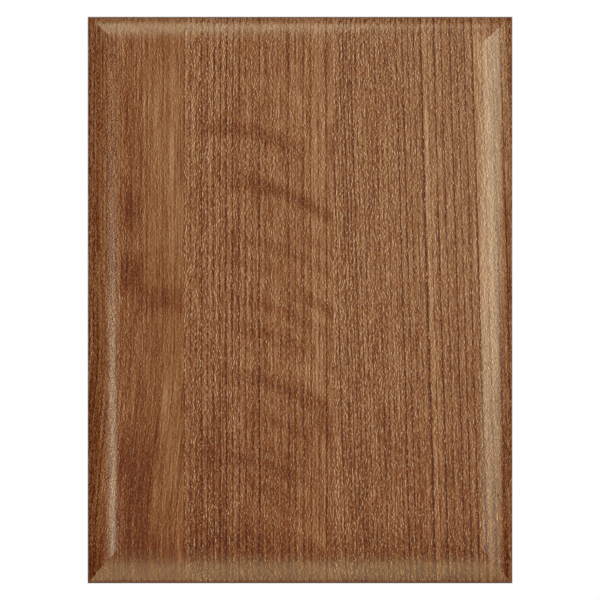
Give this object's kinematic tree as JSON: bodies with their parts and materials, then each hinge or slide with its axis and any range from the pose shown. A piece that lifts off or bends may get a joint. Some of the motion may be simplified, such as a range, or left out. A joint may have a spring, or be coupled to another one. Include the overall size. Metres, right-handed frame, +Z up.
{
  "type": "wooden plaque",
  "caption": "Rectangular walnut wall plaque blank with a rolled and mitred front edge, flush keyhole hangers and rubber wall bumpers on the back.",
  "frame": {"origin": "On the plane of the board's back, where the wall screw's shank comes to rest at the end of the upright hanger's slot, on the board's vertical centre line and 38 mm below its top edge. The wall itself is 3 mm further back, at the tips of the bumpers.", "axes": "+X to the right as the face is seen, +Z up with the plaque hung upright, +Y from the board towards the wall, so the face looks towards -Y"},
  "size_m": [0.2286, 0.0252, 0.3048],
  "materials": {
    "walnut_left": "satin lacquer",
    "walnut_middle": "satin lacquer",
    "walnut_right": "satin lacquer",
    "zinc_plate": "bright zinc plate",
    "screw_steel": "zinc plate",
    "bumper_rubber": "matt"
  },
  "bodies": {
    "root": {"stave_left": "walnut_left", "stave_middle": "walnut_middle", "stave_right": "walnut_right", "hanger_plate_upright": "zinc_plate", "hanger_plate_sideways": "zinc_plate", "hanger_screws": "screw_steel", "bumper_top_left": "bumper_rubber", "bumper_top_right": "bumper_rubber", "bumper_bottom_left": "bumper_rubber", "bumper_bottom_right": "bumper_rubber"}
  },
  "joints": []
}
